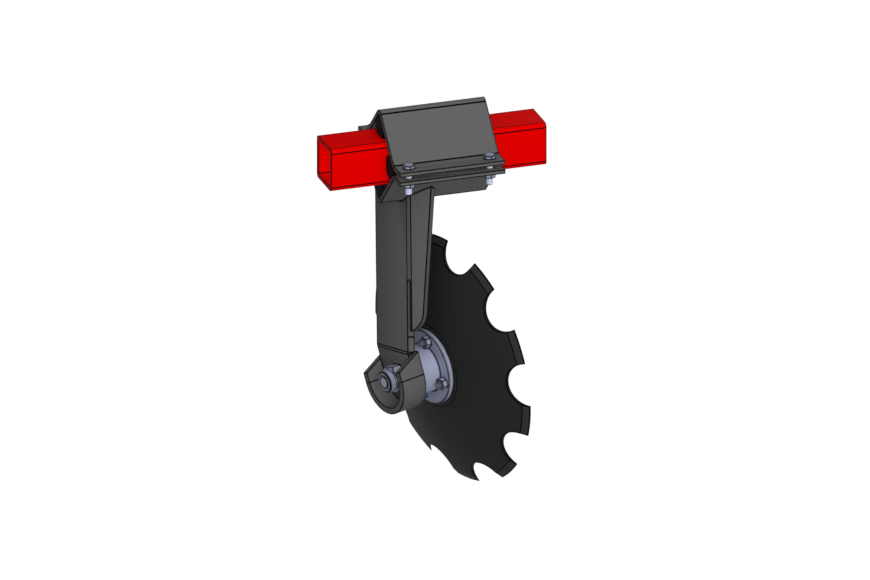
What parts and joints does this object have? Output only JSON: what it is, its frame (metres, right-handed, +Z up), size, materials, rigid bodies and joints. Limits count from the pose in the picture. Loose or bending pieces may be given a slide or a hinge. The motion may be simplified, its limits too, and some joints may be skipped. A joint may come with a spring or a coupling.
{
  "type": "clod breaker disc assembly",
  "caption": "Notched, dished disc on a stub spindle, carried by a folded plate arm that a V clamp with rubber cords holds on a square crossbar.",
  "frame": {"origin": "middle of the crossbar, on its centre line", "axes": "+X along the crossbar, +Y in the direction of travel, +Z up"},
  "size_m": [0.4, 0.4363, 0.6933],
  "materials": {
    "bar_paint": "gloss",
    "frame_paint": "satin",
    "zinc": "satin",
    "hub_zinc": "satin",
    "disc_steel": "satin",
    "cord_rubber": "matte",
    "bearing_steel": "polished"
  },
  "bodies": {
    "crossbar": {"crossbar_tube": "bar_paint"},
    "cords": {"rubber_cord_top": "cord_rubber", "rubber_cord_bottom": "cord_rubber", "rubber_cord_front": "cord_rubber", "rubber_cord_rear": "cord_rubber"},
    "arm": {"upper_clamp_plate": "frame_paint", "lower_clamp_plate": "frame_paint", "clamp_bolts": "zinc", "clamp_nuts": "zinc", "trailing_arm": "frame_paint", "hub_guard": "frame_paint", "spindle": "zinc", "spindle_nut": "zinc", "spindle_collar": "zinc", "bearing_inner_ring": "bearing_steel"},
    "disc": {"disc_blade": "disc_steel", "hub_housing": "hub_zinc", "bearing_outer_ring": "bearing_steel", "disc_bolts": "zinc", "disc_nuts": "zinc"}
  },
  "joints": [
    {"name": "arm_swing", "type": "hinge", "parent": "crossbar", "child": "arm", "pos_m": [0, 0, 0], "axis": [-1, 0, 0], "range_deg": [-4, 20], "stiffness_Nm_per_rad": 6000, "deforming": ["rubber_cord_top", "rubber_cord_bottom", "rubber_cord_front", "rubber_cord_rear"]},
    {"name": "cord_roll", "type": "hinge", "parent": "crossbar", "child": "cords", "pos_m": [0, 0, 0], "axis": [-1, 0, 0], "range_deg": [-2, 10]},
    {"name": "disc_spin", "type": "hinge", "parent": "arm", "child": "disc", "pos_m": [-0.0885, -0.0879, -0.3858], "axis": [0.9493, 0.303, 0.0837], "continuous": true}
  ],
  "couplings": [
    {"joint": "cord_roll", "follows": "arm_swing", "ratio": 0.5}
  ]
}
